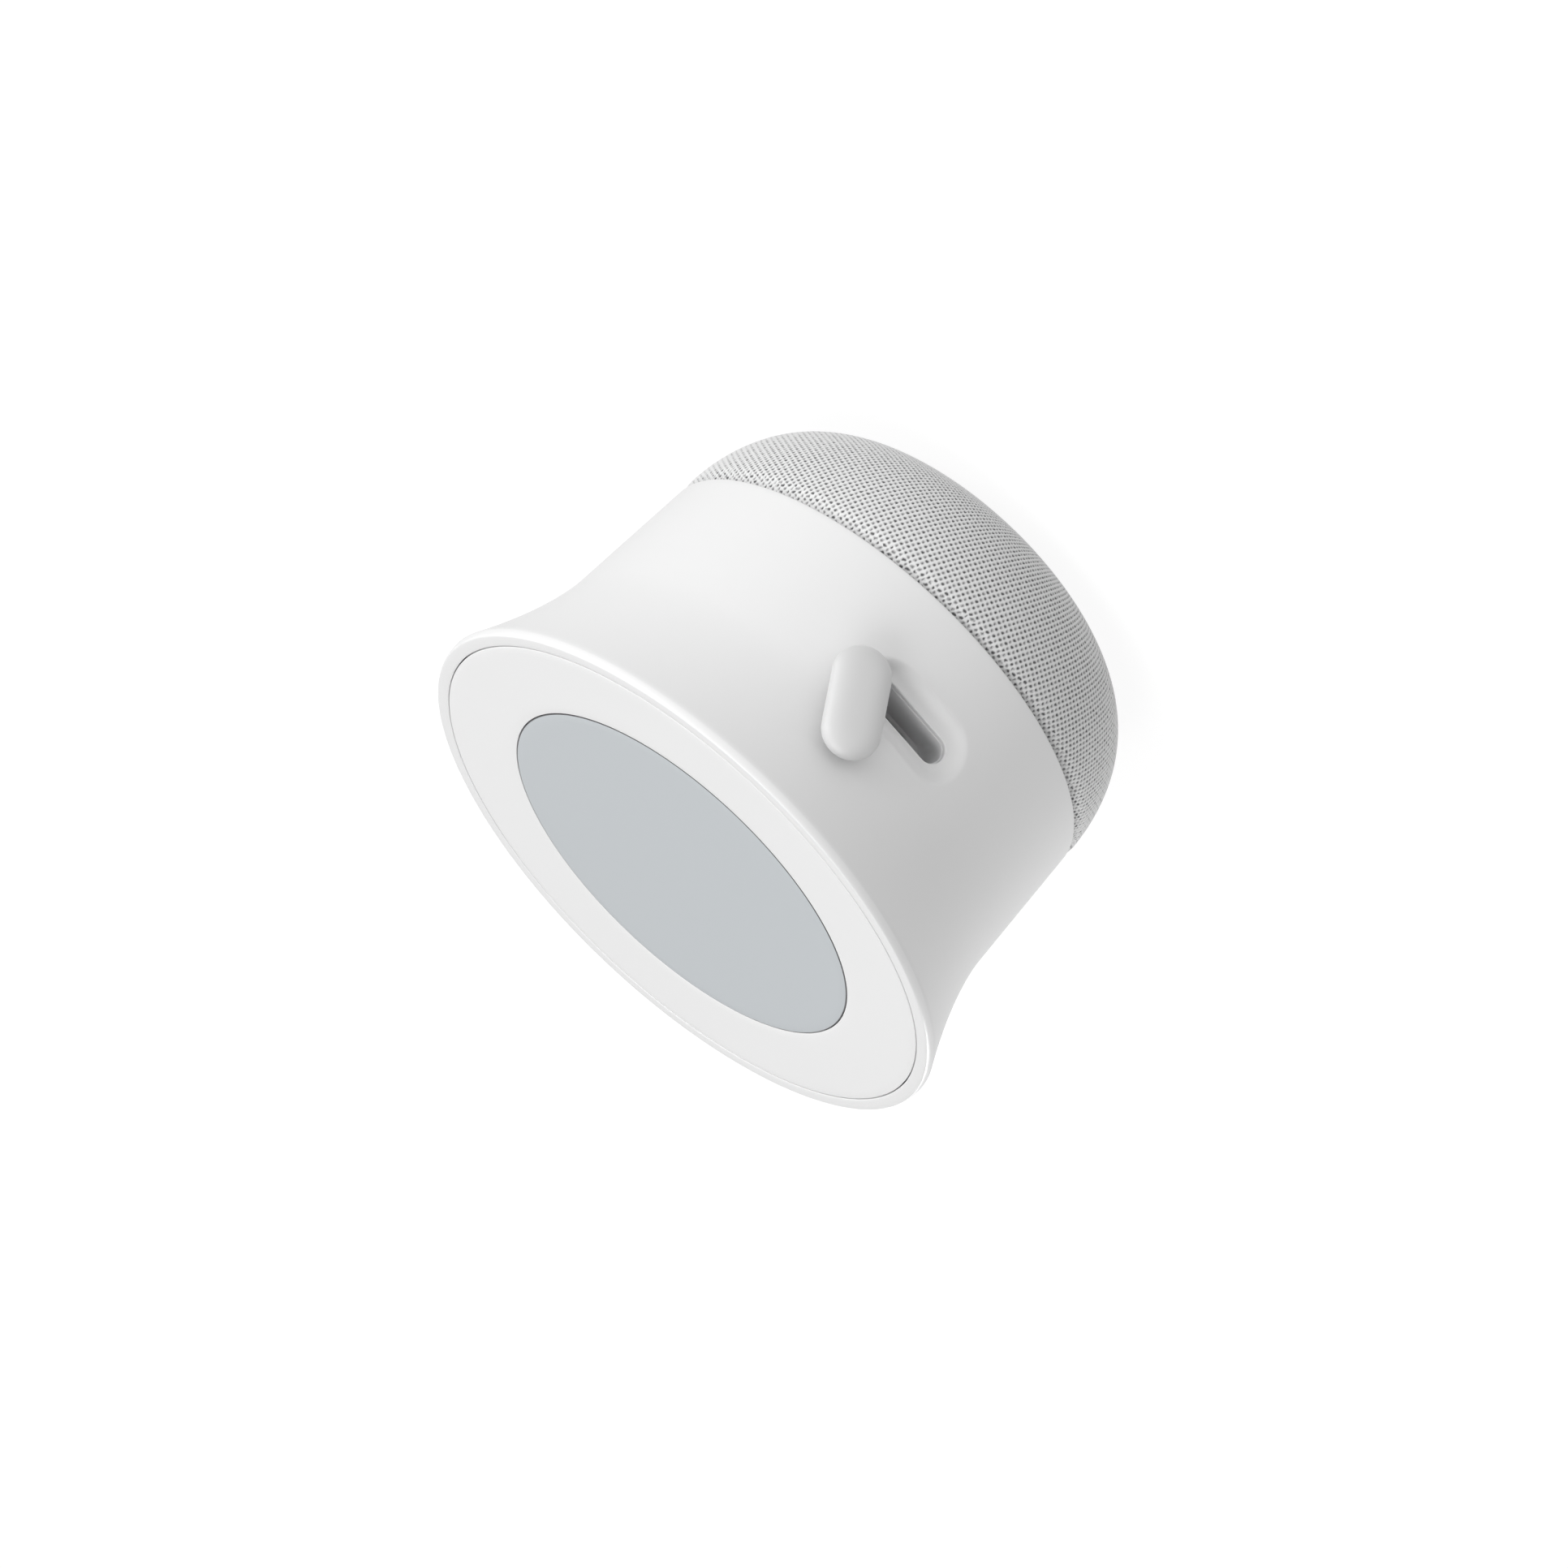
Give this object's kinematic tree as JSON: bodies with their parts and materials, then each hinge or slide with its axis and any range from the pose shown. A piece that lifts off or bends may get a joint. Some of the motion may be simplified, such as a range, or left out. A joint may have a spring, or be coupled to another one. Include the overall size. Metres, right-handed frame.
{
  "type": "smart display",
  "caption": "Round tabletop smart display: screen in a flat round face over a flared white housing, knitted fabric dome with a down-firing speaker, and a covered charging port.",
  "frame": {"origin": "centre of the rubber foot's underside, on the object's round axis", "axes": "+Z is the screen's outward normal (up when it stands on its foot); -Y is the side with the charging port"},
  "size_m": [0.1046, 0.1046, 0.075],
  "materials": {
    "white_plastic": "satin moulded, very fine texture",
    "screen_glass": "matt etched cover glass over a grey, unlit display",
    "knit_fabric": "light grey acoustic knit with a square grid of darker gaps",
    "white_rubber": "satin white silicone",
    "dark_rubber": "matt",
    "liner_plastic": "matt",
    "black_plastic": "matt",
    "grey_plastic": "matt",
    "ivory_plastic": "semi-matt",
    "black_tape": "foam tape",
    "clear_film": "film",
    "panel_glass": "gloss",
    "light_guide": "gloss",
    "steel": "brushed",
    "aluminium": "brushed",
    "copper": "bright",
    "flex_cable": "polyimide film",
    "circuit_board": "solder mask",
    "battery_pouch": "foil pouch",
    "lead_red": "insulation",
    "lead_black": "insulation",
    "black_metal": "painted",
    "magnet": "ferrite",
    "paper_cone": "coated paper",
    "spider_cloth": "resin-dipped cloth"
  },
  "bodies": {
    "housing": {"main_shell": "white_plastic", "front_bezel": "white_plastic", "bezel_tape": "black_tape", "screen_lens": "screen_glass", "lens_tape": "black_tape", "touch_film": "clear_film", "display_panel": "panel_glass", "backlight": "light_guide", "display_backplate": "steel", "display_screws": "steel", "display_flex": "flex_cable", "microphone_board": "circuit_board", "microphones": "steel", "chassis": "grey_plastic", "chassis_screws": "steel", "battery_cell": "battery_pouch", "battery_pad": "black_tape", "battery_leads": "lead_red", "main_board": "circuit_board", "board_screws": "steel", "board_connectors": "ivory_plastic", "board_chips": "black_plastic", "shield_can": "steel", "heat_spreader": "aluminium", "wifi_antenna": "copper", "port_liner": "liner_plastic", "port_gasket": "dark_rubber", "port_board": "circuit_board", "port_board_screws": "steel", "port_flex": "flex_cable", "usb_shell": "steel", "usb_tongue": "black_plastic", "cover_tether": "white_rubber", "speaker_box": "black_plastic", "speaker_baffle": "black_plastic", "driver_gasket": "dark_rubber", "driver_basket": "black_metal", "driver_screws": "steel", "magnet_ring": "magnet", "top_plate": "steel", "magnet_yoke": "steel", "driver_surround": "dark_rubber", "driver_spider": "spider_cloth", "speaker_leads": "lead_black", "speaker_cage": "grey_plastic", "cage_screws": "steel", "fabric_cover": "knit_fabric", "foot_pad": "dark_rubber", "foot_tape": "black_tape"},
    "cover": {"port_cover": "white_rubber"},
    "cone": {"driver_cone": "paper_cone", "dust_cap": "paper_cone", "voice_coil": "copper"}
  },
  "joints": [
    {"name": "cover_swing", "type": "hinge", "parent": "housing", "child": "cover", "pos_m": [0.0107, -0.0463, 0.04046], "axis": [0.029, -0.9755, -0.2181], "range_deg": [0, 61.8], "deforming": ["cover_tether"]},
    {"name": "cone_travel", "type": "slide", "parent": "housing", "child": "cone", "axis": [0, 0, 1], "range_m": [-0.0015, 0.0015], "stiffness_N_per_m": 900, "deforming": ["driver_surround", "driver_spider"]}
  ]
}
